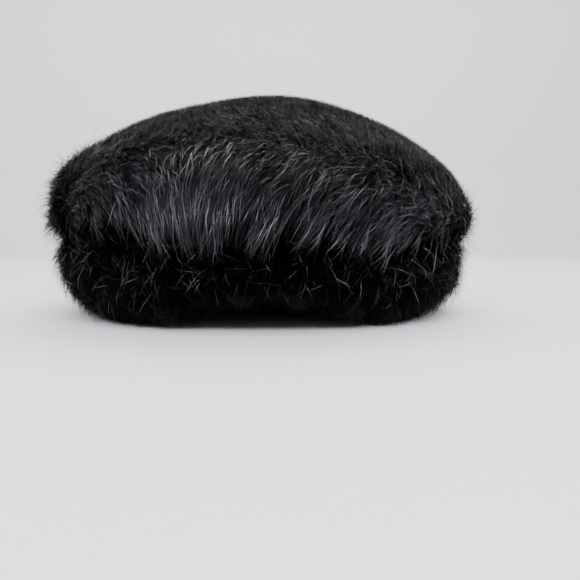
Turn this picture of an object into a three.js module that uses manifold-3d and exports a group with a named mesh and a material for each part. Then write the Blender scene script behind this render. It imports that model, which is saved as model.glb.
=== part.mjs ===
// Halo hat of black fur, in millimetres, with +Z up and the front towards -Y.
// The origin is in the middle of the ring that the hat rests on.
// The hat is first worked out as a true round. Then it settles into its worn form: a little oval,
// leaning to one side, softly dented on top and lifted at the front of its lower edge.
import * as THREE from "three";
import { mergeVertices } from "three/addons/utils/BufferGeometryUtils.js";
import Module from "manifold-3d";

const wasm = await Module();
wasm.setup();

// Sizes of the hat over its fur
const HAT_WIDTH = 240;
const HAT_LENGTH = 250;
const HAT_HEIGHT = 126;

// Heights above the surface that it rests on
const WIDEST_HEIGHT = 54;
const SEAM_HEIGHT = 41;
const ROLL_HEIGHT = 30;

// The head opening, between the folded edges of the under band
const OPENING_WIDTH = 162;
const FOLD_RADIUS = 3;
const HEM_HEIGHT = 14;

// Thicknesses of the pelt's leather, of the fur on it and of the clear space between pieces
const LEATHER = 2;
const CROWN_FUR = 12;
const BAND_FUR = 9;
const UNDERFUR = 5;
const GAP = 0.4;

// Rounding of the crown's shoulder and of its lip above the seam
const SHOULDER_RADIUS = 30;
const LIP_RADIUS = 22;

// The flat ring of fur that the hat rests on
const REST_INSIDE = 86;
const REST_OUTSIDE = 93;
const REST_BEVEL = 4;

// Where the under band's fur ends on the fold, and where its flattened underside starts on the roll
const FUR_END = THREE.MathUtils.degToRad(-155);
const UNDERSIDE_START = THREE.MathUtils.degToRad(-54);
const UNDERSIDE_STEPS = 4;

// How the soft hat has settled
const LEAN = 0.015;
const FRONT_LIFT = 15;
const FRONT_LIFT_ANGLE = THREE.MathUtils.degToRad(52);
const DENTS = [
  { x: -34, y: -30, depth: 3.5, reach: 22 },
  { x: 52, y: 10, depth: 2.5, reach: 20 },
  { x: -40, y: 44, depth: 3, reach: 26 },
  { x: 8, y: 64, depth: 3, reach: 24 },
];

// Height of the locks' roots above the leather, deep in the underfur
const CROWN_ROOT = 3.6;
const BAND_ROOT = 3.2;

// A lock has this share of its length behind its place, and lifts later the higher its curl.
// Its place strays by a share of the spacing, and it turns by an angle at random.
const LOCK_BEHIND = 0.3;
const LOCK_CURL = 1.4;
const STRAY = 0.16;
const CROWN_TURN = 0.25;
const BAND_TURN = 0.35;

// Facets: steps round the hat and along each arc of a line, and the sides and rings of one lock
const AROUND = 32;
const CROWN_STEPS = [4, 3, 1];
const BAND_STEPS = [5, 2];
const LOCK_SIDES = 4;
const LOCK_RINGS = 3;

// Locks of the crown stand in staggered rows on the flat round pelt, all lying towards the front
const CROWN_LOCK = { length: 46, width: 32, thickness: 8, spacing: 34, rowStep: 31 };

// Rows of locks round the under band. Share is the place of a row along the pelt from seam to fold.
const BAND_ROWS = [
  { share: 0.12, locks: 19, length: 26, width: 25, thickness: 7, tip: 16 },
  { share: 0.42, locks: 17, length: 28, width: 26, thickness: 7, tip: 15 },
  { share: 0.7, locks: 15, length: 22, width: 23, thickness: 6, tip: 11 },
];

// Tufts of the fringe that hang from the lifted front edge. Angles run from the front, to the right.
const FRINGE_TUFTS = [
  { angle: -27, length: 26, width: 12 },
  { angle: -6, length: 18, width: 12 },
  { angle: 9, length: 20, width: 14 },
  { angle: 24, length: 24, width: 16 },
  { angle: 37, length: 24, width: 15 },
];
const TUFT = { thickness: 6, root: 4.2, tip: 13 };
const TUFT_SHARE = 0.84;

// Sizes that follow
const FRONT = -Math.PI / 2;
const CROWN_RADIUS = HAT_WIDTH / 2 - CROWN_FUR;
const CROWN_TOP = HAT_HEIGHT - CROWN_FUR;
const SHOULDER_CENTRE = CROWN_RADIUS - SHOULDER_RADIUS;
const CROWN_RISE = CROWN_TOP - WIDEST_HEIGHT;
const TOP_RADIUS = (SHOULDER_CENTRE ** 2 + CROWN_RISE ** 2 - SHOULDER_RADIUS ** 2)
  / (2 * (CROWN_RISE - SHOULDER_RADIUS));
const TOP_CENTRE_HEIGHT = CROWN_TOP - TOP_RADIUS;
const SHOULDER_ANGLE = Math.atan2(TOP_RADIUS - CROWN_RISE, SHOULDER_CENTRE);
const ROLL_CENTRE = OPENING_WIDTH / 2 + FOLD_RADIUS;
const ROLL_RADIUS = ROLL_HEIGHT - BAND_FUR;
const CROWN_EDGE = SEAM_HEIGHT + GAP / 2;
const BAND_EDGE = SEAM_HEIGHT - GAP / 2;

// One arc of a line that runs from the middle of the hat outwards and down
function arc(radiusOfCentre, heightOfCentre, radius, from, to) {
  return new THREE.EllipseCurve(radiusOfCentre, heightOfCentre, radius, radius, from, to, true);
}

// The crown's line at a distance outside the fur side of its leather, from the top to the seam
function crownLine(outside) {
  const lip = LIP_RADIUS + outside;
  const lipAngle = -Math.asin((WIDEST_HEIGHT - CROWN_EDGE) / lip);
  const line = new THREE.CurvePath();
  line.add(arc(0, TOP_CENTRE_HEIGHT, TOP_RADIUS + outside, Math.PI / 2, SHOULDER_ANGLE));
  line.add(arc(SHOULDER_CENTRE, WIDEST_HEIGHT, SHOULDER_RADIUS + outside, SHOULDER_ANGLE, 0));
  line.add(arc(CROWN_RADIUS - LIP_RADIUS, WIDEST_HEIGHT, lip, 0, lipAngle));
  return line;
}

// The under band's line at such a distance, from the seam round the roll and the fold of the opening
function bandLine(outside, foldEnd) {
  const roll = ROLL_RADIUS + outside;
  const fold = FOLD_RADIUS + outside;
  const line = new THREE.CurvePath();
  line.add(arc(ROLL_CENTRE, ROLL_HEIGHT, roll, Math.asin((BAND_EDGE - ROLL_HEIGHT) / roll), FRONT));
  line.add(arc(ROLL_CENTRE, ROLL_HEIGHT - ROLL_RADIUS + FOLD_RADIUS, fold, FRONT, foldEnd));
  return line;
}

// Points along a line, with a number of steps for each of its arcs
function pointsAlong(line, steps) {
  return line.curves.flatMap((curve, i) => curve.getPoints(steps[i]).slice(i === 0 ? 0 : 1));
}

// Where a point of the true round lies once the hat has settled
function settled(x, y, z) {
  const leanDrop = LEAN * x * z / HAT_HEIGHT;
  const upOnCrown = THREE.MathUtils.smoothstep(z, SEAM_HEIGHT, HAT_HEIGHT);
  const sink = DENTS.reduce((sum, dent) => {
    const away = Math.hypot(x - dent.x, y - dent.y) / dent.reach;
    return sum + dent.depth * Math.exp(-away * away / 2);
  }, 0) * upOnCrown;
  const fromFront = Math.abs(Math.atan2(x, -y));
  const nearFront = 1 - THREE.MathUtils.smoothstep(fromFront, 0, FRONT_LIFT_ANGLE);
  const lift = FRONT_LIFT * nearFront * Math.max(0, 1 - z / SEAM_HEIGHT);
  return [x, y * HAT_LENGTH / HAT_WIDTH, z - leanDrop - sink + lift];
}

// Moves each vertex of a geometry to its settled place
function settle(geometry) {
  const places = geometry.attributes.position;
  for (let i = 0; i < places.count; i += 1) {
    places.setXYZ(i, ...settled(places.getX(i), places.getY(i), places.getZ(i)));
  }
  return geometry;
}

// Turns a mesh into a solid, with shared vertices merged and triangles without area left out.
// One that was drawn inside out is turned over.
function solid(geometry, insideOut = false) {
  const bare = geometry.clone();
  bare.deleteAttribute("normal");
  bare.deleteAttribute("uv");
  const merged = mergeVertices(bare, 1e-4);
  const corners = merged.index.array;
  const kept = [];
  for (let i = 0; i < corners.length; i += 3) {
    const [a, b, c] = [corners[i], corners[i + 1], corners[i + 2]];
    if (a !== b && b !== c && c !== a) kept.push(...(insideOut ? [a, c, b] : [a, b, c]));
  }
  const vertProperties = new Float32Array(merged.attributes.position.array);
  return new wasm.Manifold(new wasm.Mesh({ numProp: 3, vertProperties, triVerts: new Uint32Array(kept) }));
}

// An outline of radii and heights that closes on itself or on the axis, turned once round the hat
function turned(outline, insideOut) {
  return solid(settle(new THREE.LatheGeometry(outline, AROUND).rotateX(Math.PI / 2)), insideOut);
}

// A block as wide as needed, between two heights
function blockBetween(low, high) {
  const side = HAT_LENGTH * 2;
  return new THREE.BoxGeometry(side, side, high - low).translate(0, 0, (low + high) / 2);
}

// The outer body of a shape, without loose crumbs or hollows that no opening reaches
function outerBody(shape) {
  return shape.decompose().reduce((most, next) => (next.volume() > most.volume() ? next : most));
}

// A number from -1 to 1 that varies from one lock to the next and is the same each time
function scatter(number, kind) {
  const wave = Math.sin(number * 12.9898 + kind * 78.233) * 43758.5453;
  return 2 * (wave - Math.floor(wave)) - 1;
}

// A point at a distance along a line, a height outside it and an angle round the hat
function pointOnPelt(line, length, distance, height, angle) {
  const share = THREE.MathUtils.clamp(distance / length, 0, 1);
  const foot = line.getPointAt(share);
  const tangent = line.getTangentAt(share);
  const past = distance - share * length;
  const radius = foot.x + tangent.x * past - tangent.y * height;
  const level = foot.y + tangent.y * past + tangent.x * height;
  return new THREE.Vector3(radius * Math.cos(angle), radius * Math.sin(angle), level);
}

// One lock of fur: a leaf with its root in the underfur, that lies along the pelt and lifts to its tip.
// The function lay gives the point for a distance along the lock, one across it and a height.
function lock(lay, size, turn) {
  const leaf = new THREE.SphereGeometry(1, LOCK_SIDES, LOCK_RINGS);
  const places = leaf.attributes.position;
  for (let i = 0; i < places.count; i += 1) {
    const share = (1 + places.getY(i)) / 2;
    const along = size.length * (share - LOCK_BEHIND);
    const across = places.getX(i) * size.width / 2;
    const middle = size.root + (size.tip - size.root) * share ** LOCK_CURL;
    const height = middle + places.getZ(i) * size.thickness / 2;
    const forward = along * Math.cos(turn) - across * Math.sin(turn);
    const aside = along * Math.sin(turn) + across * Math.cos(turn);
    places.setXYZ(i, ...lay(forward, aside, height));
  }
  return solid(settle(leaf));
}

// Leather of the crown: a hollow dome
function makeCrown() {
  const outer = pointsAlong(crownLine(0), CROWN_STEPS);
  const inner = pointsAlong(crownLine(-LEATHER), CROWN_STEPS);
  return turned([...inner, ...outer.reverse()]);
}

// Fur of the crown: underfur round the dome, with locks in rows on the flat pelt that was drawn over it.
// Its inner line is turned in the same order as the leather's outer line, so their facets match.
function makeCrownFur() {
  const outer = pointsAlong(crownLine(GAP + UNDERFUR), CROWN_STEPS);
  const inner = pointsAlong(crownLine(GAP), CROWN_STEPS);
  const line = crownLine(0);
  const reach = line.getLength();
  let fur = turned([...outer, ...inner.reverse()], true);
  const rows = Math.ceil(reach / CROWN_LOCK.rowStep);
  const perSide = Math.ceil(reach / CROWN_LOCK.spacing);
  let number = 0;
  for (let row = -rows; row <= rows; row += 1) {
    for (let column = -perSide; column <= perSide; column += 1) {
      number += 1;
      const stagger = row % 2 === 0 ? 0 : 0.5;
      const x = (column + stagger + STRAY * scatter(number, 1)) * CROWN_LOCK.spacing;
      const y = (row + STRAY * scatter(number, 2)) * CROWN_LOCK.rowStep;
      const lay = (forward, aside, height) => {
        const distance = Math.hypot(x - aside, y - forward);
        return pointOnPelt(line, reach, distance, height, Math.atan2(y - forward, x - aside));
      };
      const size = {
        ...CROWN_LOCK,
        root: CROWN_ROOT,
        tip: CROWN_FUR + scatter(number, 3),
      };
      if (Math.hypot(x, y) < reach) fur = fur.add(lock(lay, size, CROWN_TURN * scatter(number, 4)));
    }
  }
  return outerBody(fur.intersect(solid(settle(blockBetween(CROWN_EDGE, HAT_HEIGHT * 2)))));
}

// Leather of the under band: a roll from the seam to the opening, with its edge folded up inside
function makeUnderBand() {
  const outer = pointsAlong(bandLine(0, -Math.PI), BAND_STEPS);
  const inner = pointsAlong(bandLine(-LEATHER, -Math.PI), BAND_STEPS);
  const hemTop = ROLL_HEIGHT - ROLL_RADIUS + FOLD_RADIUS + HEM_HEIGHT;
  outer.push(new THREE.Vector2(outer.at(-1).x, hemTop));
  inner.push(new THREE.Vector2(inner.at(-1).x, hemTop));
  return turned([...inner, ...outer.reverse(), inner[0]]);
}

// Fur of the under band: underfur round the roll, pressed flat where it rests, with rows of locks
function makeUnderBandFur() {
  const inner = pointsAlong(bandLine(GAP, FUR_END), BAND_STEPS);
  const roll = ROLL_RADIUS + GAP + UNDERFUR;
  const start = Math.asin((BAND_EDGE - ROLL_HEIGHT) / roll);
  const outer = [
    ...arc(ROLL_CENTRE, ROLL_HEIGHT, roll, start, UNDERSIDE_START).getPoints(UNDERSIDE_STEPS),
    new THREE.Vector2(REST_OUTSIDE, 0),
    new THREE.Vector2(REST_INSIDE, 0),
    new THREE.Vector2(inner.at(-1).x + GAP, REST_BEVEL),
  ];
  let fur = turned([...outer, ...inner.reverse(), outer[0]], true);
  const line = bandLine(0, FUR_END);
  const length = line.getLength();
  let number = 0;
  for (const row of BAND_ROWS) {
    for (let i = 0; i < row.locks; i += 1) {
      number += 1;
      const angle = (i + STRAY * scatter(number, 5)) / row.locks * 2 * Math.PI;
      const lay = layOnBand(line, length, length * row.share, angle);
      fur = fur.add(lock(lay, { ...row, root: BAND_ROOT }, BAND_TURN * scatter(number, 6)));
    }
  }
  for (const tuft of FRINGE_TUFTS) {
    const angle = FRONT + THREE.MathUtils.degToRad(tuft.angle);
    fur = fur.add(lock(layOnBand(line, length, length * TUFT_SHARE, angle), { ...tuft, ...TUFT }, 0));
  }
  const opening = new THREE.CylinderGeometry(OPENING_WIDTH / 2, OPENING_WIDTH / 2, HAT_HEIGHT, AROUND);
  const belowSeam = solid(settle(blockBetween(-SEAM_HEIGHT, BAND_EDGE)));
  const aboveFloor = solid(blockBetween(0, HAT_HEIGHT));
  fur = fur.intersect(belowSeam).intersect(aboveFloor);
  return outerBody(fur.subtract(solid(settle(opening.rotateX(Math.PI / 2)))));
}

// How a lock lies on the under band, from a place on its line and an angle round the hat
function layOnBand(line, length, distance, angle) {
  const radius = line.getPointAt(distance / length).x;
  return (forward, aside, height) => (
    pointOnPelt(line, length, distance + forward, height, angle - aside / radius)
  );
}

// A named piece of the hat
function piece(name, shape, material) {
  const mesh = shape.getMesh();
  const geometry = new THREE.BufferGeometry();
  geometry.setAttribute("position", new THREE.BufferAttribute(new Float32Array(mesh.vertProperties), 3));
  geometry.setIndex(new THREE.BufferAttribute(new Uint32Array(mesh.triVerts), 1));
  geometry.computeVertexNormals();
  const named = new THREE.Mesh(geometry, material);
  named.name = name;
  return named;
}

// The dyed fur is black with a blue-grey sheen. The flesh side of the leather is dyed too, and dull.
const blackFur = new THREE.MeshStandardMaterial({ color: 0x141418, roughness: 0.7, metalness: 0 });
const dyedLeather = new THREE.MeshStandardMaterial({ color: 0x2b2624, roughness: 0.85, metalness: 0 });

const hat = new THREE.Group();
hat.add(piece("crown", makeCrown(), dyedLeather));
hat.add(piece("crown_fur", makeCrownFur(), blackFur));
hat.add(piece("under_band", makeUnderBand(), dyedLeather));
hat.add(piece("under_band_fur", makeUnderBandFur(), blackFur));

export default hat;
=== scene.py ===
import math

import bmesh
import bpy
import numpy as np
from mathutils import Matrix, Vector, kdtree


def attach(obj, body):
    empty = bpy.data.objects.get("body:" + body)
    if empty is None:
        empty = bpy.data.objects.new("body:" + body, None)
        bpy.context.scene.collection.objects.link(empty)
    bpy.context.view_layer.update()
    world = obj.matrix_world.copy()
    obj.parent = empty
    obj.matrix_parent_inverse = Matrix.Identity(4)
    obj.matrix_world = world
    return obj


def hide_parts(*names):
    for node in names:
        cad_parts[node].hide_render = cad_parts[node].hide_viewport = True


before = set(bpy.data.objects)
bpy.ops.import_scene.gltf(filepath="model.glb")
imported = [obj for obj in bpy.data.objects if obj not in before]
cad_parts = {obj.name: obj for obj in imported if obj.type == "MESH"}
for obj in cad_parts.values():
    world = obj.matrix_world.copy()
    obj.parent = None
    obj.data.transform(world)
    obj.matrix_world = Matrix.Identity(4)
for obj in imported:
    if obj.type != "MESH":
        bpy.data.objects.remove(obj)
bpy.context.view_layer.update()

MM = 0.001
FRONT = -math.pi / 2
CHANCE = np.random.default_rng(7)
SHARE_OF_HAIR = 1.0

# Sizes of the hat, the same as in the part's source
HAT_WIDTH = 240 * MM
HAT_LENGTH = 250 * MM
HAT_HEIGHT = 126 * MM
WIDEST_HEIGHT = 54 * MM
SEAM_HEIGHT = 41 * MM
ROLL_HEIGHT = 30 * MM
OPENING_WIDTH = 162 * MM
FOLD_RADIUS = 3 * MM
HEM_HEIGHT = 14 * MM
LEATHER = 2 * MM
CROWN_FUR = 12 * MM
BAND_FUR = 9 * MM
SHOULDER_RADIUS = 30 * MM
LIP_RADIUS = 22 * MM
REST_INSIDE = 86 * MM
REST_OUTSIDE = 93 * MM
REST_BEVEL = 4 * MM
GAP = 0.4 * MM

# How the soft hat has settled, the same as in the part's source
LEAN = 0.015
FRONT_LIFT = 15 * MM
FRONT_LIFT_ANGLE = math.radians(52)
DENTS = [
    {"x": -34 * MM, "y": -30 * MM, "depth": 3.5 * MM, "reach": 22 * MM},
    {"x": 52 * MM, "y": 10 * MM, "depth": 2.5 * MM, "reach": 20 * MM},
    {"x": -40 * MM, "y": 44 * MM, "depth": 3 * MM, "reach": 26 * MM},
    {"x": 8 * MM, "y": 64 * MM, "depth": 3 * MM, "reach": 24 * MM},
]

# Hairs as near as this cling together in one fine lock
LOCK_SPACING = 1.4 * MM

# How far a flat strand turns about its length at random, and how much narrower it gets by its tip
STRAND_TWIST = 0.6
STRAND_TAPER = 0.55

# The bodies of matted underfur, under the strands
CROWN_UNDERFUR = 5 * MM
BAND_UNDERFUR = 4 * MM
FUR_END = math.radians(-155)

CROWN_RADIUS = HAT_WIDTH / 2 - CROWN_FUR
CROWN_TOP = HAT_HEIGHT - CROWN_FUR
SHOULDER_CENTRE = CROWN_RADIUS - SHOULDER_RADIUS
CROWN_RISE = CROWN_TOP - WIDEST_HEIGHT
TOP_RADIUS = ((SHOULDER_CENTRE ** 2 + CROWN_RISE ** 2 - SHOULDER_RADIUS ** 2)
              / (2 * (CROWN_RISE - SHOULDER_RADIUS)))
SHOULDER_ANGLE = math.atan2(TOP_RADIUS - CROWN_RISE, SHOULDER_CENTRE)
ROLL_CENTRE = OPENING_WIDTH / 2 + FOLD_RADIUS
ROLL_RADIUS = ROLL_HEIGHT - BAND_FUR
FOLD_HEIGHT = ROLL_HEIGHT - ROLL_RADIUS + FOLD_RADIUS
CROWN_EDGE = SEAM_HEIGHT + GAP / 2
BAND_EDGE = SEAM_HEIGHT - GAP / 2

FLOOR_CLEARANCE = 0.3 * MM

# Steps round the hat and the floor and along a line that roots are drawn from, and drawn places for
# each kept root
AROUND = 96
LINE_STEPS = 400
TRIES_PER_ROOT = 4

# Where the crown's long fur begins and is full, from the middle of the flat pelt
LONG_FUR_BEGINS = 96 * MM
LONG_FUR_FULL = 136 * MM

# Distances above the seam along the pelt: where roots begin to be moved up, where hair begins to be
# ragged, and below which no root is drawn
MOVED_UP_REACH = 50 * MM
RAGGED_REACH = 45 * MM
SEAM_MARGIN = 0.5 * MM

# A reach in millimetres that takes in the whole crown, and the steepest that a hair stands
WHOLE_CROWN = 999
STEEPEST_LIFT = math.radians(75)

# Random waves: how many are summed, how their widths spread, and what brings the sum to about 1
WAVES = {"count": 7, "widths": (0.8, 1.7), "sum": 2.6}

# Steps along the outlines of the spun bodies, where the flattened underside starts, and the ruffles
OUTLINE_STEPS = {"crown": 40, "crown_fur": 60, "band": 34, "roll": 22}
UNDERSIDE_START = math.radians(-54)
RUFFLE = {"hills": 7 * MM, "slant": 0.3, "crown": 0.5 * MM, "band": 0.3 * MM}

# How the crown's hairs vary. Turns and lifts are in radians, pulls, lengths and tones are shares, and
# places round the hat are in degrees from the front.
TURN = {"on_top": 0.12, "clump": 0.12, "stray": 0.5}
FLUFF = {"wide_hills": 0.12, "small_hills": 0.1, "clump": 0.1, "at_root": 0.5, "at_tip": 0.4}
LIFT = {"flatter_sides": 0.45, "tip_on_top": 0.2, "tip": 0.07, "stray": (0.1, 0.6)}
PULL = {"clump": 0.7, "clump_more_at_sides": 0.3, "lock": 0.5}
RAGGED = {"hills": 0.14, "clump": 0.12, "hair": 0.2, "right_side": 0.12}
SIDES_FROM_FRONT = (22, 50)
# Patches vary the short fur's light grey, which is partly painted sheen; bright hairs are painted glints in
# the long fur
TOP_PATCHES = {"middle": 0.58, "wide_hills": 0.21, "small_hills": 0.15, "clump": 0.08, "lock": 0.45}
BRIGHT_HAIR = {"most": 2.4, "sharpness": 4, "least": 0.4, "least_tuft": 0.35, "tuft": 0.65}
DULL_PLACE = {"place": 5, "half_width": 15, "depth": 0.6}
SWIRL = {"wide_hills": 0.08, "small_hills": 0.06}
NAP_SETS_IN = (55 * MM, 110 * MM)

# How the under band's hairs and the fringe's vary
BAND_VARIES = {"turn_hills": 0.5, "clump_turn": 0.3, "fluff": 0.15, "tip": 0.25}
FRINGE_VARIES = {"tuft": 0.5, "gather": 0.5, "drift": 2.0 * MM, "outward": 3.0 * MM,
                 "outward_spread": 2.5 * MM, "curl": 2.2, "hang": 0.75, "hang_more": 0.25}


class PeltLine:
    """A pelt's line from the middle of the hat outwards and down: arcs that meet, each clockwise."""

    def __init__(self, *arcs):
        self.arcs = arcs
        self.length = sum(radius * (start - end) for _, _, radius, start, end in arcs)

    def at(self, distance, outside):
        """Radii and heights of points at distances along the line, and as far outside it."""
        radii, levels = np.zeros_like(distance), np.zeros_like(distance)
        begin = 0.0
        for number, (centre, level, radius, start, end) in enumerate(self.arcs):
            local = distance - begin
            on_arc = np.clip(local, 0, radius * (start - end))
            straight = local - on_arc
            angle = start - on_arc / radius
            here = np.full(distance.shape, number == 0) | (local >= 0)
            reach = radius + outside
            radii = np.where(here, centre + reach * np.cos(angle) + straight * np.sin(angle), radii)
            levels = np.where(here, level + reach * np.sin(angle) - straight * np.cos(angle), levels)
            begin += radius * (start - end)
        return radii, levels

    def turned(self, distance):
        """How far the line has turned downwards at distances along it."""
        total, begin = np.zeros_like(distance), 0.0
        for _, _, radius, start, end in self.arcs:
            total += np.clip(distance - begin, 0, radius * (start - end)) / radius
            begin += radius * (start - end)
        return total


def crown_line(outside=0.0):
    """The crown's line from the top to the seam, at a distance outside its leather."""
    lip = LIP_RADIUS + outside
    lip_end = -math.asin((WIDEST_HEIGHT - CROWN_EDGE) / lip)
    return PeltLine(
        (0.0, CROWN_TOP - TOP_RADIUS, TOP_RADIUS + outside, math.pi / 2, SHOULDER_ANGLE),
        (SHOULDER_CENTRE, WIDEST_HEIGHT, SHOULDER_RADIUS + outside, SHOULDER_ANGLE, 0.0),
        (CROWN_RADIUS - LIP_RADIUS, WIDEST_HEIGHT, lip, 0.0, lip_end),
    )


def band_line(outside=0.0, end=FUR_END):
    """The under band's line from the seam round its roll and the fold of the head opening."""
    roll = ROLL_RADIUS + outside
    return PeltLine(
        (ROLL_CENTRE, ROLL_HEIGHT, roll, math.asin((BAND_EDGE - ROLL_HEIGHT) / roll), FRONT),
        (ROLL_CENTRE, FOLD_HEIGHT, FOLD_RADIUS + outside, FRONT, end),
    )


def smooth_step(value, low, high):
    """0 below low, 1 above high and an even curve between."""
    share = np.clip((value - low) / (high - low), 0, 1)
    return share * share * (3 - 2 * share)


def settled(x, y, z):
    """Where points of the true round lie once the hat has leaned, dented and lifted at the front."""
    sink = sum(
        dent["depth"] * np.exp(-((x - dent["x"]) ** 2 + (y - dent["y"]) ** 2) / (2 * dent["reach"] ** 2))
        for dent in DENTS
    )
    sink = sink * smooth_step(z, SEAM_HEIGHT, HAT_HEIGHT)
    near_front = 1 - smooth_step(np.abs(np.arctan2(x, -y)), 0, FRONT_LIFT_ANGLE)
    lift = FRONT_LIFT * near_front * np.maximum(0, 1 - z / SEAM_HEIGHT)
    level = z - LEAN * x * z / HAT_HEIGHT - sink + lift
    return np.stack([x, y * HAT_LENGTH / HAT_WIDTH, level], axis=-1)


def round_the_hat(radius, angle, level):
    """Settled places of points given by their radius, angle and height on the true round."""
    return settled(radius * np.cos(angle), radius * np.sin(angle), level)


def wander(x, y, scale, seed):
    """Soft random waves from about -1 to 1 over a plane, with hills about as far apart as the scale."""
    waves = np.random.default_rng(seed)
    total = np.zeros_like(x)
    for _ in range(WAVES["count"]):
        heading, phase = waves.uniform(0, 2 * math.pi, 2)
        pace = 2 * math.pi / (scale * waves.uniform(*WAVES["widths"]))
        total += np.sin((x * math.cos(heading) + y * math.sin(heading)) * pace + phase)
    return total / WAVES["sum"]


def linear(hex_colour):
    """An sRGB hex colour as linear red, green, blue and alpha."""
    parts = [int(hex_colour[i:i + 2], 16) / 255 for i in (1, 3, 5)]
    return [p / 12.92 if p <= 0.04045 else ((p + 0.055) / 1.055) ** 2.4 for p in parts] + [1.0]


def node(material, kind, settings=None, stops=(), **links):
    """Adds a shader node with its settings and ramp stops, and links or sets its inputs.
    An input goes by its name, with _ for a space, or by _ and its number where names repeat."""
    made = material.node_tree.nodes.new(kind)
    for key, value in (settings or {}).items():
        setattr(made, key, value)
    for number, (position, colour) in enumerate(stops):
        ramp = made.color_ramp.elements
        element = ramp[number] if number < len(ramp) else ramp.new(position)
        element.position = position
        element.color = linear(colour)
    for key, value in links.items():
        numbered = key[0] == "_" and key[1:].isdigit()
        socket = made.inputs[int(key[1:]) if numbered else key.replace("_", " ")]
        if isinstance(value, bpy.types.NodeSocket):
            material.node_tree.links.new(value, socket)
        else:
            socket.default_value = value
    return made


def new_material(name):
    """An empty material, ready for its nodes."""
    material = bpy.data.materials.new(name)
    material.use_nodes = True
    material.node_tree.nodes.clear()
    return material


def hair_material(name, root, tip, darkest, gloss, roughness, sheen):
    """Dyed fur hair: darkest at the root, a painted shade deep in the fur, with each hair lighter or darker
    than the next by its tone, which also holds painted glints and painted sheen; this gives the eye single
    hairs with depth between them."""
    material = new_material(name)
    along = node(material, "ShaderNodeAttribute", {"attribute_name": "along"})
    tone = node(material, "ShaderNodeAttribute", {"attribute_name": "tone"})
    dye_and_root_shade = node(material, "ShaderNodeValToRGB", stops=[(0.0, root), (1.0, tip)], Fac=along.outputs["Fac"])
    shade = node(material, "ShaderNodeValToRGB", stops=[(0.0, darkest), (0.6, "#b4b4b6"), (1.0, "#fffaf0")],
                 Fac=tone.outputs["Fac"])
    colour = node(material, "ShaderNodeMix", {"data_type": "RGBA", "blend_type": "MULTIPLY"},
                  _0=1.0, _6=dye_and_root_shade.outputs["Color"], _7=shade.outputs["Color"])
    shader = node(
        material, "ShaderNodeBsdfPrincipled", Base_Color=colour.outputs[2], Roughness=roughness, IOR=1.55,
        Specular_IOR_Level=gloss, Sheen_Weight=sheen, Sheen_Roughness=0.4, Sheen_Tint=linear("#c8cac8"),
    )
    node(material, "ShaderNodeOutputMaterial", Surface=shader.outputs["BSDF"])
    return material


def matted_underfur_material():
    """Matted underfur next to the leather: curled and dull, so it gives the eye a near black ground
    with a fine grain. The curls are drawn coarser than real ones, so that they show."""
    material = new_material("matted_black_underfur")
    place = node(material, "ShaderNodeTexCoord").outputs["Object"]
    curl = node(material, "ShaderNodeTexNoise", Vector=place, Scale=1 / (1.6 * MM), Detail=6.0,
                Roughness=0.7)
    colour = node(material, "ShaderNodeValToRGB", stops=[(0.3, "#020202"), (0.7, "#070707")],
                  Fac=curl.outputs["Fac"])
    bump = node(material, "ShaderNodeBump", Height=curl.outputs["Fac"], Strength=0.8, Distance=1.0 * MM)
    shader = node(material, "ShaderNodeBsdfPrincipled", Base_Color=colour.outputs["Color"], Roughness=0.85,
                  Specular_IOR_Level=0.05, Normal=bump.outputs["Normal"])
    node(material, "ShaderNodeOutputMaterial", Surface=shader.outputs["BSDF"])
    return material


def leather_material():
    """Flesh side of a dyed pelt: suede-like, so it gives the eye a matt brown-black, blotched by the
    dye, with short fibres and fine creases."""
    material = new_material("dyed_pelt_leather")
    place = node(material, "ShaderNodeTexCoord").outputs["Object"]
    blotch = node(material, "ShaderNodeTexNoise", Vector=place, Scale=1 / (28 * MM), Detail=5.0,
                  Roughness=0.6)
    fibre = node(material, "ShaderNodeTexNoise", Vector=place, Scale=1 / (1.2 * MM), Detail=4.0,
                 Roughness=0.65)
    crease = node(material, "ShaderNodeTexVoronoi", {"feature": "DISTANCE_TO_EDGE"}, Vector=place,
                  Scale=1 / (9 * MM))
    colour = node(material, "ShaderNodeValToRGB", Fac=blotch.outputs["Fac"],
                  stops=[(0.3, "#211d1b"), (0.55, "#302a26"), (0.75, "#3d352f")])
    creases = node(material, "ShaderNodeMapRange", Value=crease.outputs["Distance"], From_Max=0.08)
    relief = node(material, "ShaderNodeMath", {"operation": "MULTIPLY_ADD"},
                  _0=fibre.outputs["Fac"], _1=0.5, _2=creases.outputs["Result"])
    bump = node(material, "ShaderNodeBump", Height=relief.outputs["Value"], Strength=0.5, Distance=0.5 * MM)
    roughness = node(material, "ShaderNodeMapRange", Value=fibre.outputs["Fac"], To_Min=0.72, To_Max=0.95)
    shader = node(material, "ShaderNodeBsdfPrincipled", Base_Color=colour.outputs["Color"],
                  Roughness=roughness.outputs["Result"], Normal=bump.outputs["Normal"])
    node(material, "ShaderNodeOutputMaterial", Surface=shader.outputs["BSDF"])
    return material


def shown(name, mesh, material):
    """Puts a finished mesh into the scene with its material."""
    piece = bpy.data.objects.new(name, mesh)
    mesh.materials.append(material)
    bpy.context.scene.collection.objects.link(piece)
    return piece


def outline_points(line, outside, steps):
    """Points of a line for a spun outline, from its start to its end."""
    radii, levels = line.at(np.linspace(0, line.length, steps), np.full(steps, outside))
    return list(zip(radii, levels))


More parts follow.
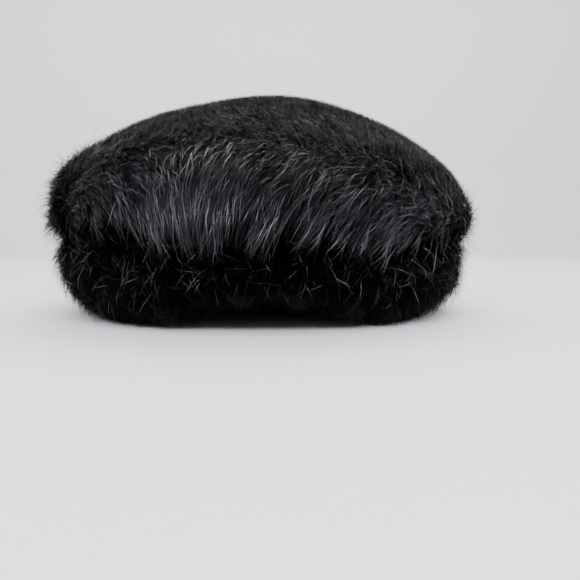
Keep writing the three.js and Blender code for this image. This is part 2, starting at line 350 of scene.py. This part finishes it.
def spun_body(name, outline, material, closes, ruffle=0.0):
    """An outline of radii and heights, spun once round the hat, settled and slightly ruffled."""
    body = bmesh.new()
    ring = [body.verts.new((radius, 0, level)) for radius, level in outline]
    pairs = list(zip(ring, ring[1:])) + ([(ring[-1], ring[0])] if closes else [])
    edges = [body.edges.new(pair) for pair in pairs]
    bmesh.ops.spin(body, geom=ring + edges, cent=(0, 0, 0), axis=(0, 0, 1), angle=2 * math.pi,
                   steps=AROUND, use_merge=True, use_duplicate=False)
    bmesh.ops.remove_doubles(body, verts=body.verts, dist=0.01 * MM)
    bmesh.ops.recalc_face_normals(body, faces=body.faces)
    body.normal_update()
    places = np.array([v.co for v in body.verts])
    normals = np.array([v.normal for v in body.verts])
    if ruffle:
        angle = np.arctan2(places[:, 1], places[:, 0]) * CROWN_RADIUS
        depth = wander(angle, places[:, 2] + places[:, 0] * RUFFLE["slant"], RUFFLE["hills"], 21)
        places = places + normals * (ruffle * depth)[:, None]
    places = settled(*places.T)
    places[:, 2] = np.maximum(places[:, 2], FLOOR_CLEARANCE)
    for vertex, place in zip(body.verts, places):
        vertex.co = place
    bmesh.ops.recalc_face_normals(body, faces=body.faces)
    for face in body.faces:
        face.smooth = True
    mesh = bpy.data.meshes.new(name)
    body.to_mesh(mesh)
    body.free()
    return shown(name, mesh, material)


def make_crown_leather(material):
    """The crown's leather: a smooth hollow dome."""
    steps = OUTLINE_STEPS["crown"]
    inner = outline_points(crown_line(), -LEATHER, steps)
    outer = outline_points(crown_line(), 0.0, steps)
    return spun_body("crown_leather", inner + outer[::-1], material, closes=False)


def make_crown_underfur(material):
    """Matted underfur round the crown's leather."""
    inner = outline_points(crown_line(GAP), 0.0, OUTLINE_STEPS["crown"])
    outer = outline_points(crown_line(CROWN_UNDERFUR), 0.0, OUTLINE_STEPS["crown_fur"])
    return spun_body("crown_underfur", inner + outer[::-1], material, closes=False,
                     ruffle=RUFFLE["crown"])


def make_band_leather(material):
    """The under band's leather: a roll, a fold at the head opening and a hem up inside."""
    hem_top = FOLD_HEIGHT + HEM_HEIGHT
    inner = outline_points(band_line(-LEATHER, -math.pi), 0.0, OUTLINE_STEPS["band"])
    outer = outline_points(band_line(0.0, -math.pi), 0.0, OUTLINE_STEPS["band"])
    outline = inner + [(inner[-1][0], hem_top), (outer[-1][0], hem_top)] + outer[::-1]
    return spun_body("under_band_leather", outline, material, closes=True)


def make_band_underfur(material):
    """Matted underfur round the roll, pressed flat where the hat rests."""
    inner = outline_points(band_line(GAP), 0.0, OUTLINE_STEPS["band"])
    roll = ROLL_RADIUS + BAND_UNDERFUR
    start = math.asin((BAND_EDGE - ROLL_HEIGHT) / roll)
    angles = np.linspace(start, UNDERSIDE_START, OUTLINE_STEPS["roll"])
    outer = [(ROLL_CENTRE + roll * math.cos(a), ROLL_HEIGHT + roll * math.sin(a)) for a in angles]
    under = [(REST_OUTSIDE, 0.0), (REST_INSIDE, 0.0), (inner[-1][0] + GAP, REST_BEVEL)]
    return spun_body("under_band_underfur", inner + (outer + under)[::-1], material, closes=True,
                     ruffle=RUFFLE["band"])


def strand_mesh(name, paths, width, material, tone):
    """Joins flat tapering strands into one mesh. Each path runs from root to tip.
    No operator makes so many strands, so their vertices and faces are worked out here."""
    count, steps, _ = paths.shape
    along = np.gradient(paths, axis=1)
    along /= np.linalg.norm(along, axis=2, keepdims=True) + 1e-12
    outward = paths[:, :1] - np.array([0, 0, WIDEST_HEIGHT])
    outward = outward / np.linalg.norm(outward, axis=2, keepdims=True)
    side = np.cross(along, outward + CHANCE.normal(0, STRAND_TWIST, size=(count, 1, 3)))
    side /= np.linalg.norm(side, axis=2, keepdims=True) + 1e-12
    shares = np.linspace(0, 1, steps)
    half = (width[:, None] / 2 * (1 - STRAND_TAPER * shares[None, :]))[:, :-1, None]
    body = paths[:, :-1]
    corners = np.stack([body - side[:, :-1] * half, body + side[:, :-1] * half], axis=2)
    per_strand = 2 * (steps - 1) + 1
    places = np.concatenate([corners.reshape(count, -1, 3), paths[:, -1:]], axis=1).reshape(-1, 3)
    places[:, 2] = np.maximum(places[:, 2], FLOOR_CLEARANCE)
    quads = [[2 * k, 2 * k + 1, 2 * k + 3, 2 * k + 2] for k in range(steps - 2)]
    loops = np.array(sum(quads, []) + [per_strand - 3, per_strand - 2, per_strand - 1])
    starts = np.array([4 * k for k in range(steps - 1)])
    base = np.arange(count)[:, None]
    mesh = bpy.data.meshes.new(name)
    mesh.vertices.add(count * per_strand)
    mesh.loops.add(count * len(loops))
    mesh.polygons.add(count * (steps - 1))
    mesh.vertices.foreach_set("co", places.ravel())
    mesh.loops.foreach_set("vertex_index", (base * per_strand + loops).astype(np.int32).ravel())
    mesh.polygons.foreach_set("loop_start", (base * len(loops) + starts).astype(np.int32).ravel())
    mesh.polygons.foreach_set("use_smooth", np.ones(count * (steps - 1), bool))
    vertex_share = np.append(np.repeat(shares[:-1], 2), 1.0)
    for key, values in (("along", np.tile(vertex_share, count)), ("tone", np.repeat(tone, per_strand))):
        attribute = mesh.attributes.new(key, "FLOAT", "POINT")
        attribute.data.foreach_set("value", values.astype(np.float32))
    mesh.update(calc_edges=True)
    return shown(name, mesh, material)


def nearest_clump(u, v, spacing):
    """For each root on a flat pelt, the middle of the clump that it leans to."""
    count = max(8, int(np.ptp(u) * np.ptp(v) / spacing ** 2))
    picks = CHANCE.choice(len(u), min(count, len(u)), replace=False)
    tree = kdtree.KDTree(len(picks))
    for i in picks:
        tree.insert(Vector((u[i], v[i], 0)), int(i))
    tree.balance()
    chosen = np.array([tree.find(Vector((a, b, 0)))[1] for a, b in zip(u, v)])
    return u[chosen], v[chosen], chosen


def bend_over(lift_root, lift_tip, share):
    """The lift of a hair off the pelt at a share of its length. It rises first, then bends over."""
    return lift_tip + (lift_root - lift_tip) * (1 - share) ** 2


def crown_roots(kind, count):
    """Roots on the dome, as places on the flat round pelt, as dense on top and at the sides as the
    kind says. Of more places than needed, those most wanted are kept."""
    line = crown_line()
    begin = max(0, line.length - kind["reach"] * MM)
    distances = np.linspace(begin, line.length - SEAM_MARGIN, LINE_STEPS)
    radii, _ = line.at(distances, np.zeros(LINE_STEPS))
    share = np.cumsum(radii)
    tries = count * TRIES_PER_ROOT
    distance = np.interp(CHANCE.uniform(0, share[-1], tries), share, distances)
    angle = CHANCE.uniform(-math.pi, math.pi, tries)
    long = long_fur(distance * np.cos(angle), distance * np.sin(angle))
    wanted = kind["on_top"] * (1 - long) ** 2 + kind["at_sides"] * long ** kind["late"]
    kept = np.argsort(CHANCE.uniform(0, 1, tries) / (wanted + 0.001), kind="stable")[:count]
    distance, angle = distance[kept], angle[kept]
    # Near the seam, roots move up off it and off the band of painted shade above it
    near_seam = smooth_step(distance, line.length - MOVED_UP_REACH, line.length)
    distance = distance - near_seam * (kind["clear"] * MM + kind["above_edge"] * painted_shade_edge(angle))
    return distance * np.cos(angle), distance * np.sin(angle)


def painted_shade_edge(angle):
    """How wide the dark messy fur above the seam is, a band of painted shade: widest at the front, and
    ragged.
    """
    place_round = (np.degrees(angle) + 270) % 360 - 180
    ragged = 1 + 0.4 * wander(angle * CROWN_RADIUS, 0 * angle, 13 * MM, 15)
    return np.interp(place_round, EDGE_PLACES, EDGE_WIDTHS) * MM * ragged


def long_fur(x, y):
    """From 0 in the short plush on top of the pelt to 1 in the longer fur at its edge all round."""
    return smooth_step(np.hypot(x, y) - 0.1 * x - 0.05 * y, LONG_FUR_BEGINS, LONG_FUR_FULL)


def from_front(x, y):
    """Places round the hat, in degrees from the front towards the left side."""
    return np.degrees(np.arctan2(x, -y))


# Which way the crown's fur lies on the flat pelt, turned from straight ahead towards the left side,
# in degrees. Places run round the hat from the back by the right side to the front, and on.
NAP_PLACES = [-180, -100, -70, -50, -38, -28, -20, -10, 12, 26, 42, 60, 100, 180]
NAP_TURNS = [-12, 8, 26, 38, 46, 42, 8, -28, -38, -54, -50, -34, -15, -12]

# Width of the dark edge, a band of painted shade above the seam, in millimetres at places round the hat, in
# degrees from the front
EDGE_PLACES = [-180, -60, -40, 5, 14, 24, 60, 180]
EDGE_WIDTHS = [2, 3, 7, 8, 5, 1, 1, 2]


def crown_nap(x, y):
    """Which way the fur lies on the flat pelt: towards the front, and in from both sides."""
    laid = np.interp(from_front(x, y), NAP_PLACES, NAP_TURNS)
    away = smooth_step(np.hypot(x, y), *NAP_SETS_IN)
    swirl = SWIRL["wide_hills"] * wander(x, y, 60 * MM, 3) + SWIRL["small_hills"] * wander(x, y, 24 * MM, 4)
    return np.radians(NAP_TURNS[0] * (1 - away) + laid * away) + swirl


def crown_lengths(kind, x, y, short, clump, reach):
    """Lengths of the crown's hairs: shorter on top, ragged by the seam, and there a little shorter
    on the right side."""
    count = len(x)
    length = CHANCE.uniform(*kind["length"], count) * MM * (1 - kind["shorter"] * short)
    by_seam = smooth_step(np.hypot(x, y), reach - RAGGED_REACH, reach)
    uneven = RAGGED["hills"] * wander(x, y, 12 * MM, 13) + CHANCE.normal(0, RAGGED["clump"], count)[clump]
    uneven = uneven + CHANCE.normal(0, RAGGED["hair"], count)
    uneven = uneven - RAGGED["right_side"] * smooth_step(-x, -30 * MM, 10 * MM)
    return length * (1 + by_seam * uneven)


def crown_tones(kind, x, y, long, clump, lock):
    """How light each hair is: soft patches in the short fur, whose grey is partly painted sheen, and single
    bright hairs in the long fur, painted glints on hairs picked at random, which are dimmer just to the
    left of the front."""
    count = len(x)
    patches = TOP_PATCHES["middle"] + TOP_PATCHES["wide_hills"] * wander(x, y, 19 * MM, 9)
    patches = patches + TOP_PATCHES["small_hills"] * wander(x, y, 8 * MM, 10)
    patches = patches + CHANCE.normal(0, TOP_PATCHES["clump"], count)[clump]
    lock_tone = CHANCE.uniform(0, 1, count)[lock]
    patches = patches + TOP_PATCHES["lock"] * (lock_tone - 0.5)
    off_place = (from_front(x, y) - DULL_PLACE["place"]) / DULL_PLACE["half_width"]
    dull = 1 - DULL_PLACE["depth"] * np.exp(-off_place ** 2)
    tufts = BRIGHT_HAIR["least_tuft"] + BRIGHT_HAIR["tuft"] * CHANCE.uniform(0, 1, count)[clump]
    single = BRIGHT_HAIR["most"] * lock_tone ** BRIGHT_HAIR["sharpness"]
    single = single * CHANCE.uniform(BRIGHT_HAIR["least"], 1, count)
    single = kind["side_tone"] * dull * tufts * single
    tone = single * long + kind["top_tone"] * (1 - long) * np.clip(patches, 0, 1)
    return np.clip(tone, 0, 1)


def crown_hair_paths(kind, count):
    """Paths and tones of hairs that lie along the nap of the flat pelt, then follow the dome.
    They are too stiff to follow its sharp turn at the side, and hang over the seam like a skirt."""
    steps = kind["steps"]
    line = crown_line()
    x, y = crown_roots(kind, count)
    long = long_fur(x, y)
    short = 1 - long
    clump_x, clump_y, clump = nearest_clump(x, y, kind["clump"])
    lock_x, lock_y, lock = nearest_clump(x, y, LOCK_SPACING)
    turn = crown_nap(x, y) + CHANCE.normal(0, 1, count) * (kind["mess"] + TURN["on_top"] * short)
    turn = turn + CHANCE.normal(0, TURN["clump"], count)[clump]
    fluff = FLUFF["wide_hills"] * wander(x, y, 34 * MM, 5) + FLUFF["small_hills"] * wander(x, y, 13 * MM, 6)
    fluff = fluff + CHANCE.normal(0, FLUFF["clump"], count)[clump]
    flatter = LIFT["flatter_sides"] * smooth_step(np.abs(from_front(x, y)), *SIDES_FROM_FRONT) * long
    lift_root = math.radians(kind["lift"][0]) * (1 + FLUFF["at_root"] * fluff) * (1 - flatter)
    lift_tip = math.radians(kind["lift"][1]) + LIFT["tip_on_top"] * short + FLUFF["at_tip"] * fluff
    lift_tip = lift_tip + CHANCE.normal(0, LIFT["tip"], count)
    stray = CHANCE.uniform(0, 1, count) < kind["stray"]
    lift_tip = np.where(stray, lift_tip + CHANCE.uniform(*LIFT["stray"], count), lift_tip)
    turn = np.where(stray, turn + CHANCE.normal(0, TURN["stray"], count), turn)
    step = crown_lengths(kind, x, y, short, clump, line.length) / (steps - 1)
    turned_at_root = line.turned(np.hypot(x, y))
    path = [(x, y, np.full(count, kind["root"] * MM))]
    for number in range(steps - 1):
        at_x, at_y, out = path[-1]
        lift = bend_over(lift_root, lift_tip, number / max(1, steps - 2))
        further = line.turned(np.hypot(at_x, at_y) + 0.5 * step) - turned_at_root
        lift = np.minimum(lift + kind["stiff"] * further, STEEPEST_LIFT)
        flat = np.cos(lift) * step
        path.append((at_x + np.sin(turn) * flat, at_y - np.cos(turn) * flat, out + np.sin(lift) * step))
    path_x, path_y, out = (np.stack(part, axis=1) for part in zip(*path))
    share = np.linspace(0, 1, steps)[None, :] ** 2
    held = np.where(stray, 0.0, PULL["clump"] + PULL["clump_more_at_sides"] * long)
    pull = (kind["pull"] * held)[:, None] * share
    path_x = path_x + (clump_x - x)[:, None] * pull + (lock_x - x)[:, None] * PULL["lock"] * share
    path_y = path_y + (clump_y - y)[:, None] * pull + (lock_y - y)[:, None] * PULL["lock"] * share
    radii, levels = line.at(np.hypot(path_x, path_y), out)
    tone = crown_tones(kind, x, y, long, clump, lock)
    return round_the_hat(radii, np.arctan2(path_y, path_x), levels), tone


def band_hair_paths(kind, count):
    """Paths and tones of the messier hairs of the under band, from the seam to the head opening."""
    steps = kind["steps"]
    line = band_line()
    distance = CHANCE.uniform(0, line.length * kind["reach"], count)
    angle = CHANCE.uniform(-math.pi, math.pi, count)
    round_scale = ROLL_CENTRE + ROLL_RADIUS
    clump_d, clump_a, clump = nearest_clump(distance, angle * round_scale, kind["clump"])
    turn = BAND_VARIES["turn_hills"] * wander(angle * round_scale, distance, 25 * MM, 11)
    turn = turn + CHANCE.normal(0, kind["mess"], count)
    turn = turn + CHANCE.normal(0, BAND_VARIES["clump_turn"], count)[clump]
    fluff = BAND_VARIES["fluff"] * wander(angle * round_scale, distance, 16 * MM, 12)
    lift_root = math.radians(kind["lift"][0]) * (1 + fluff)
    lift_tip = math.radians(kind["lift"][1]) + fluff + CHANCE.normal(0, BAND_VARIES["tip"], count)
    step = CHANCE.uniform(*kind["length"], count) * MM / (steps - 1)
    path = [(distance, angle * round_scale, np.full(count, kind["root"] * MM))]
    for number in range(steps - 1):
        down, aside, out = path[-1]
        lift = bend_over(lift_root, lift_tip, number / max(1, steps - 2))
        flat = np.cos(lift) * step
        path.append((down + np.cos(turn) * flat, aside + np.sin(turn) * flat, out + np.sin(lift) * step))
    down, aside, out = (np.stack(part, axis=1) for part in zip(*path))
    pull = kind["pull"] * np.linspace(0, 1, steps)[None, :] ** 2
    down = down + (clump_d - distance)[:, None] * pull
    aside = aside + (clump_a - angle * round_scale)[:, None] * pull
    radii, levels = line.at(down, out)
    tone = CHANCE.uniform(0, 1, count) ** 3
    return round_the_hat(radii, aside / round_scale, levels), tone


def fringe_hair_paths(kind, count):
    """Paths and tones of wispy hairs that hang in tufts from the lifted front edge."""
    steps = kind["steps"]
    line = band_line()
    tuft = CHANCE.integers(0, len(FRINGE_TUFTS), count)
    middle, half = np.array([(t["angle"], t["half"]) for t in FRINGE_TUFTS]).T
    loose = CHANCE.uniform(0, 1, count) < LOOSE_SHARE
    place = middle[tuft] + half[tuft] * CHANCE.normal(0, FRINGE_VARIES["tuft"], count)
    place = np.where(loose, CHANCE.uniform(*LOOSE_PLACES, count), place)
    angle = FRONT + np.radians(place)
    down = line.length * CHANCE.uniform(*FRINGE_ROOTS, count)
    radius, level = line.at(down, np.full(count, kind["root"] * MM))
    length = CHANCE.uniform(*kind["length"], count) * MM
    drift = np.radians(middle[tuft] - place) * radius * FRINGE_VARIES["gather"] * ~loose
    drift = drift + CHANCE.normal(0, FRINGE_VARIES["drift"], count)
    outward = CHANCE.normal(FRINGE_VARIES["outward"], FRINGE_VARIES["outward_spread"], count)
    share = np.linspace(0, 1, steps)[None, :]
    radii = radius[:, None] + outward[:, None] * np.sin(share * FRINGE_VARIES["curl"])
    fall = FRINGE_VARIES["hang"] + FRINGE_VARIES["hang_more"] * share
    levels = level[:, None] - length[:, None] * share * fall
    angles = angle[:, None] + (drift / radius)[:, None] * share
    return round_the_hat(radii, angles, levels), CHANCE.uniform(0, 1, count)


# Kinds of hair. Lengths, widths, heights of the root and reaches from the seam are in millimetres, and
# lifts in degrees at root and tip. Real hair is finer: it is drawn as wide as it takes to show.
# On top and at sides say how dense a kind is there, and late how far out it thickens. Clear and above
# edge keep its roots off the seam and off the band of painted shade above it. The tones say how light it
# is.
CROWN_KINDS = [
    {"name": "crown_plush_hair", "count": 84000, "parts": 2, "steps": 3, "length": (8, 10.5),
     "lift": (62, 20), "width": 0.26, "clump": 5 * MM, "pull": 0.45, "mess": 0.3, "stray": 0.0,
     "root": 3.5, "shorter": 0.2, "stiff": 0.5, "on_top": 1.0, "at_sides": 0.06, "late": 1,
     "reach": WHOLE_CROWN, "clear": 0, "above_edge": 1, "top_tone": 1.0, "side_tone": 0.5,
     "coat": "plush"},
    {"name": "crown_underfur_hair", "count": 32000, "parts": 1, "steps": 3, "length": (8, 10.5),
     "lift": (66, 30), "width": 0.28, "clump": 5 * MM, "pull": 0.45, "mess": 0.35, "stray": 0.0,
     "root": 3.5, "shorter": 0.2, "stiff": 0.5, "on_top": 0.0, "at_sides": 1.0, "late": 1,
     "reach": WHOLE_CROWN, "clear": 0, "above_edge": 0.6, "top_tone": 0.5, "side_tone": 0.6,
     "coat": "painted_shade"},
    {"name": "crown_guard_hair", "count": 39000, "parts": 1, "steps": 4, "length": (17, 23),
     "lift": (56, 4), "width": 0.24, "clump": 6 * MM, "pull": 0.42, "mess": 0.12, "stray": 0.04,
     "root": 3.5, "shorter": 0.6, "stiff": 0.75, "on_top": 0.03, "at_sides": 1.0, "late": 1,
     "reach": WHOLE_CROWN, "clear": 5.5, "above_edge": 1, "top_tone": 0.3, "side_tone": 1.0,
     "coat": "guard"},
    {"name": "crown_glossy_hair", "count": 13000, "parts": 1, "steps": 4, "length": (17, 25),
     "lift": (58, 8), "width": 0.25, "clump": 6 * MM, "pull": 0.35, "mess": 0.16, "stray": 0.1,
     "root": 4.0, "shorter": 0.6, "stiff": 0.75, "on_top": 0.02, "at_sides": 1.0, "late": 3,
     "reach": WHOLE_CROWN, "clear": 5.5, "above_edge": 1, "top_tone": 0.2, "side_tone": 1.0,
     "coat": "glossy"},
    # Near black hair in the band of painted shade above the seam
    {"name": "crown_edge_hair_painted_shade", "count": 8000, "parts": 1, "steps": 4, "length": (10, 15),
     "lift": (62, 26), "width": 0.24, "clump": 5 * MM, "pull": 0.4, "mess": 0.7, "stray": 0.05,
     "root": 3.0, "shorter": 0.0, "stiff": 0.4, "on_top": 1.0, "at_sides": 1.0, "late": 1,
     "reach": 12, "clear": 0, "above_edge": 0, "top_tone": 0.6, "side_tone": 0.6,
     "coat": "painted_shade"},
]

# The same for the under band. Here the reach is a share of the way from the seam to the opening. Most of
# its hair is near black, a painted shade, as the band faces down.
BAND_KINDS = [
    {"name": "under_band_underfur_hair", "count": 40000, "parts": 1, "steps": 3, "length": (7, 10),
     "lift": (70, 40), "width": 0.3, "clump": 5 * MM, "pull": 0.4, "mess": 0.7, "reach": 0.95,
     "root": 2.5, "coat": "painted_shade"},
    {"name": "under_band_guard_hair", "count": 25000, "parts": 1, "steps": 4, "length": (11, 18),
     "lift": (62, 24), "width": 0.24, "clump": 6 * MM, "pull": 0.35, "mess": 0.6, "reach": 0.95,
     "root": 2.5, "coat": "painted_shade"},
    {"name": "under_band_stray_hair", "count": 1700, "parts": 1, "steps": 4, "length": (11, 17),
     "lift": (66, 30), "width": 0.18, "clump": 6 * MM, "pull": 0.0, "mess": 1.6, "reach": 0.6,
     "root": 4.0, "coat": "glossy"},
]

FRINGE_KINDS = [
    {"name": "fringe_hair", "count": 2600, "parts": 1, "steps": 5, "length": (8, 16), "width": 0.15,
     "root": 3.0, "coat": "fringe"},
]

# Tufts of the fringe: places from the front to the left side and half widths, in degrees
FRINGE_TUFTS = [
    {"angle": -27, "half": 4},
    {"angle": -6, "half": 5},
    {"angle": 9, "half": 6},
    {"angle": 24, "half": 6},
    {"angle": 37, "half": 6},
]

# Loose hairs between the tufts: their share and places, and where all roots lie from seam to opening
LOOSE_SHARE = 0.35
LOOSE_PLACES = (-42, 50)
FRINGE_ROOTS = (0.62, 0.9)

# Finishes of the hair, each for what it gives the eye
COATS = {
    # Long outer hair, hardly glossy: a dark ground with faint blue-grey tips, which are painted glints on
    # the hairs whose tone is high
    "guard": {"name": "dyed_black_guard_hair", "root": "#010101", "tip": "#56565c",
              "darkest": "#0a0a0c", "gloss": 0.05, "roughness": 0.35, "sheen": 0.0},
    # The smoothest long hair: it catches the light singly, as fine bright lines, by its gloss and by
    # painted glints in its tone
    "glossy": {"name": "dyed_black_glossy_hair", "root": "#010101", "tip": "#62636c",
               "darkest": "#141416", "gloss": 0.44, "roughness": 0.28, "sheen": 0.0},
    # Short dense hair: a soft grey bloom, as on velvet, from its gloss and sheen and from painted sheen in
    # its light grey colour
    "plush": {"name": "dyed_black_plush_hair_painted_sheen", "root": "#0c0c0c", "tip": "#525352",
              "darkest": "#3c3c40", "gloss": 0.22, "roughness": 0.5, "sheen": 0.26},
    # Hair deep in the fur and on the under band: near black, darker than the dye, a painted shade, so that
    # it reads as depth
    "painted_shade": {"name": "dyed_black_hair_painted_shade", "root": "#010101", "tip": "#060505",
             "darkest": "#4a4a50", "gloss": 0.02, "roughness": 0.35, "sheen": 0.0},
    # Thin hair at the head opening: brown-black wisps
    "fringe": {"name": "dyed_brown_black_fringe_hair", "root": "#020202", "tip": "#17110e",
               "darkest": "#4a4a50", "gloss": 0.08, "roughness": 0.4, "sheen": 0.0},
}


def make_hair(kinds, paths_of, coats):
    """Makes each kind of hair in as many joined meshes as keep each one light."""
    made = []
    for kind in kinds:
        for part in range(kind["parts"]):
            count = int(kind["count"] / kind["parts"] * SHARE_OF_HAIR)
            paths, tone = paths_of(kind, count)
            width = kind["width"] * MM * CHANCE.uniform(0.7, 1.3, count)
            name = f"{kind['name']}_{part + 1}" if kind["parts"] > 1 else kind["name"]
            made.append(strand_mesh(name, paths, width, coats[kind["coat"]], tone))
    return made


def make_floor():
    """A plain pale floor, matt and round, that sweeps up all about into a backdrop."""
    material = new_material("pale_floor")
    shader = node(material, "ShaderNodeBsdfPrincipled", Base_Color=linear("#e4e4e4"), Roughness=0.75)
    node(material, "ShaderNodeOutputMaterial", Surface=shader.outputs["BSDF"])
    sweep = bmesh.new()
    flat, rise, height, bends = 1.6, 0.9, 3.0, 16
    outline = [(0.0, 0.0), (flat, 0.0)]
    for step in range(1, bends + 1):
        angle = math.pi / 2 * step / bends
        outline.append((flat + rise * math.sin(angle), rise * (1 - math.cos(angle))))
    outline.append((flat + rise, height))
    ring = [sweep.verts.new((radius, 0, level)) for radius, level in outline]
    edges = [sweep.edges.new(pair) for pair in zip(ring, ring[1:])]
    bmesh.ops.spin(sweep, geom=ring + edges, cent=(0, 0, 0), axis=(0, 0, 1), angle=2 * math.pi,
                   steps=AROUND, use_merge=True, use_duplicate=False)
    bmesh.ops.remove_doubles(sweep, verts=sweep.verts, dist=0.0001)
    bmesh.ops.recalc_face_normals(sweep, faces=sweep.faces)
    bmesh.ops.reverse_faces(sweep, faces=sweep.faces)
    for face in sweep.faces:
        face.smooth = True
    mesh = bpy.data.meshes.new("floor")
    sweep.to_mesh(mesh)
    sweep.free()
    shown("floor", mesh, material)


def make_light(name, place, aim, size, power, colour):
    """A soft oblong light that faces a point."""
    light = bpy.data.lights.new(name, "AREA")
    light.shape = "RECTANGLE"
    light.size, light.size_y = size
    light.energy = power
    light.color = linear(colour)[:3]
    lamp = bpy.data.objects.new(name, light)
    lamp.location = place
    lamp.rotation_euler = (Vector(aim) - Vector(place)).to_track_quat("-Z", "Y").to_euler()
    bpy.context.scene.collection.objects.link(lamp)


# Lights, in metres and watts. The two side lights are named as the camera sees them.
HAT_MIDDLE = (0, 0, 0.06)
LIGHTS = [
    {"name": "key", "place": (0.0, -1.05, 0.8), "aim": HAT_MIDDLE, "size": (1.3, 0.28), "power": 26,
     "colour": "#f2f3ff"},
    {"name": "front", "place": (0.1, -0.75, 1.25), "aim": HAT_MIDDLE, "size": (1.0, 0.4), "power": 11,
     "colour": "#f4f6ff"},
    {"name": "top", "place": (0.1, 0.35, 1.1), "aim": HAT_MIDDLE, "size": (1.2, 0.8), "power": 17,
     "colour": "#fffdf8"},
    {"name": "left side", "place": (-1.1, -0.15, 0.55), "aim": HAT_MIDDLE, "size": (0.8, 0.6), "power": 7,
     "colour": "#f8faff"},
    {"name": "right side", "place": (1.1, -0.15, 0.55), "aim": HAT_MIDDLE, "size": (0.8, 0.6), "power": 6,
     "colour": "#f8faff"},
    {"name": "backdrop", "place": (0, 0.9, 1.4), "aim": (0, 2.6, 0.5), "size": (1.6, 0.8), "power": 40,
     "colour": "#ffffff"},
]


def make_lights():
    """Two wide lights in front, one low and one high, one over the top, a weak one at each side, one
    for the backdrop and a dim even surround."""
    for lamp in LIGHTS:
        make_light(**lamp)
    world = bpy.data.worlds.new("studio")
    world.use_nodes = True
    background = world.node_tree.nodes["Background"]
    background.inputs["Color"].default_value = linear("#eceef2")
    background.inputs["Strength"].default_value = 0.2
    bpy.context.scene.world = world


def make_camera():
    """A close view from the front, a little above the floor and about level with the seam."""
    focal_px, frame_px = 577, 580
    camera = bpy.data.cameras.new("camera")
    camera.sensor_width = 36.0
    camera.lens = camera.sensor_width * focal_px / frame_px
    camera.clip_start = 0.01
    holder = bpy.data.objects.new("camera", camera)
    holder.location = (0, -0.350, 0.040)
    holder.rotation_euler = (math.radians(90 - 4.75), 0, math.radians(-2.62))
    bpy.context.scene.collection.objects.link(holder)
    bpy.context.scene.camera = holder


def place(piece, slot, *nodes):
    """A piece that rides with the hat and may stand for nodes; its slot is not used."""
    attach(piece, "root")
    if nodes:
        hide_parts(*nodes)


make_camera()
leather = leather_material()
matted = matted_underfur_material()
coats = {key: hair_material(**coat) for key, coat in COATS.items()}

place(make_crown_leather(leather), "dyed_leather", "crown")
place(make_band_leather(leather), "dyed_leather", "under_band")
place(make_crown_underfur(matted), "black_fur", "crown_fur")
place(make_band_underfur(matted), "black_fur", "under_band_fur")
for kinds, paths_of in (
    (CROWN_KINDS, crown_hair_paths),
    (BAND_KINDS, band_hair_paths),
    (FRINGE_KINDS, fringe_hair_paths),
):
    for hair in make_hair(kinds, paths_of, coats):
        place(hair, "black_fur")

make_floor()
make_lights()
